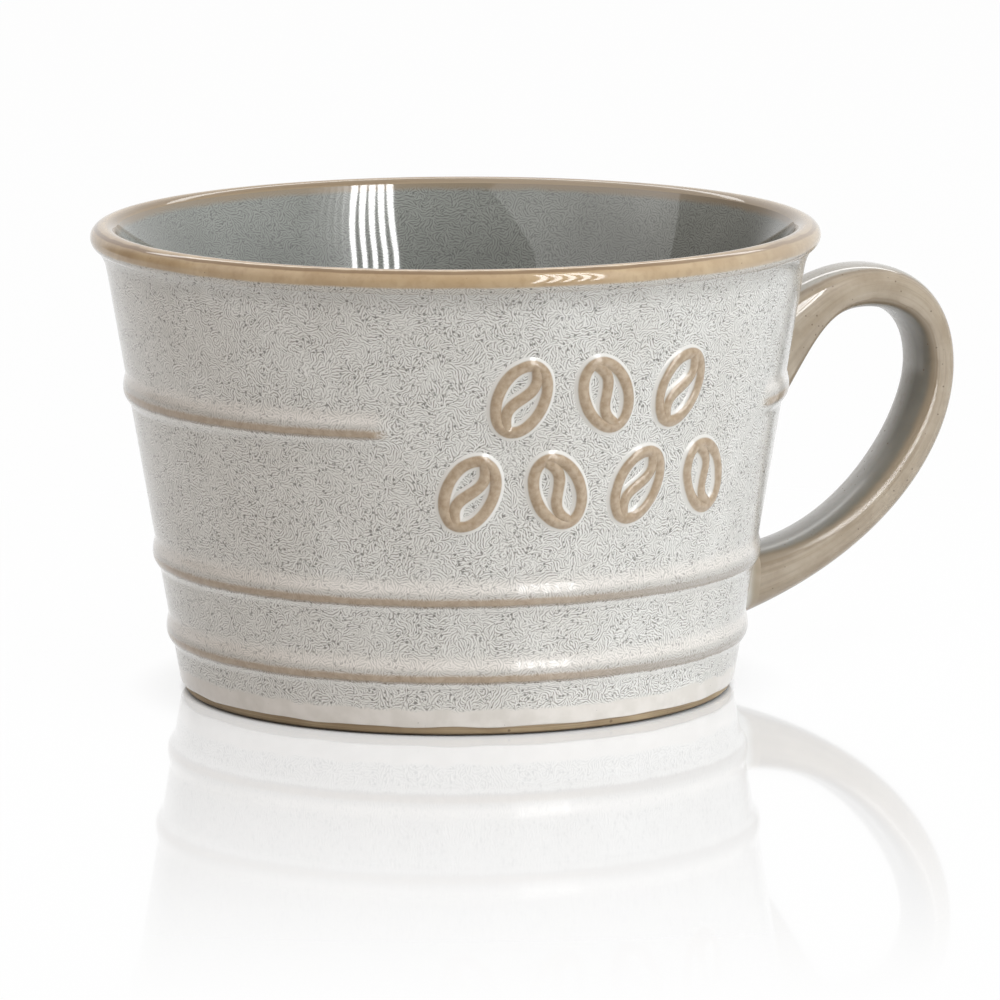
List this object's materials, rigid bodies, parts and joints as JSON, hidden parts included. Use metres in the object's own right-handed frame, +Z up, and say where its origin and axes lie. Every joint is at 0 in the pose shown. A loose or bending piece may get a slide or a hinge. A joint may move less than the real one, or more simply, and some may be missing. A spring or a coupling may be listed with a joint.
{
  "type": "coffee cup",
  "caption": "Wide tapered stoneware coffee cup with a rolled lip, raised hoops, a strap handle and raised coffee-bean ornament, glazed inside and out.",
  "frame": {"origin": "centre of the foot ring, on the cup's axis, in the plane that it stands on", "axes": "+Z up along the cup's axis, +X from the axis towards the handle, -Y towards the decorated front"},
  "size_m": [0.1454, 0.115, 0.0741],
  "materials": {
    "clay": "bare fired stoneware, matt",
    "slip": "fired slip under glaze",
    "wall_glaze": "glossy pale reactive glaze with a fine dark speckle",
    "rim_glaze": "glossy glaze broken to tan",
    "liner_glaze": "glossy grey-green glaze",
    "handle_glaze": "glossy glaze, grey on the broad faces and tan on the edges",
    "sprig_glaze": "glossy glaze broken to tan on raised strokes"
  },
  "bodies": {
    "root": {"body": "clay", "handle": "clay", "upper_slip_joint": "slip", "lower_slip_joint": "slip", "upper_bean_sprigs": "sprig_glaze", "lower_bean_sprigs": "sprig_glaze", "wall_glaze": "wall_glaze", "rim_glaze": "rim_glaze", "liner_glaze": "liner_glaze", "underside_glaze": "wall_glaze", "handle_glaze": "handle_glaze"}
  },
  "joints": []
}
